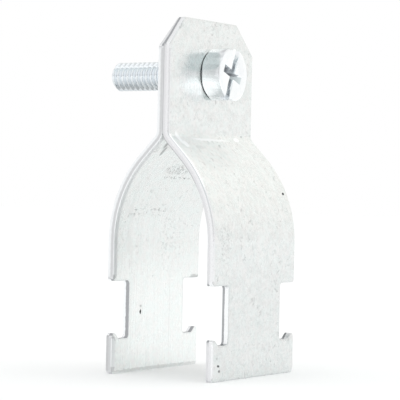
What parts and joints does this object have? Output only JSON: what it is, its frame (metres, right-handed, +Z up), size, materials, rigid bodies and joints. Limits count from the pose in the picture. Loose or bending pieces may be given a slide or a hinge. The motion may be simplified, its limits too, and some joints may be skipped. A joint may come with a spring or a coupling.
{
  "type": "strut pipe clamp",
  "caption": "Bolted steel strap clamp that hooks into a channel strut and holds a pipe or conduit across it.",
  "frame": {"origin": "middle between the two straps in the plane of the leg ends, with the ears closed", "axes": "+X along the screw towards its head, +Y along the pipe, +Z up from the leg ends to the ears"},
  "size_m": [0.0373, 0.0326, 0.0757],
  "materials": {
    "galvanised_strap": "bright galvanised sheet",
    "zinc_screw": "bright zinc plate",
    "zinc_nut": "bright zinc plate"
  },
  "bodies": {
    "far_half": {"far_strap": "galvanised_strap", "square_nut": "zinc_nut"},
    "near_half": {"near_strap": "galvanised_strap"},
    "screw": {"clamp_screw": "zinc_screw"}
  },
  "joints": [
    {"name": "strap_slide", "type": "slide", "parent": "far_half", "child": "near_half", "axis": [1, 0, 0], "range_m": [0, 0.01651]},
    {"name": "screw_turn", "type": "hinge", "parent": "near_half", "child": "screw", "pos_m": [0, 0.00035, 0.06418], "axis": [1, 0, 0], "range_deg": [0, 4680]}
  ],
  "couplings": [
    {"joint": "screw_turn", "follows": "strap_slide", "rad_per_m": 4947.4}
  ]
}
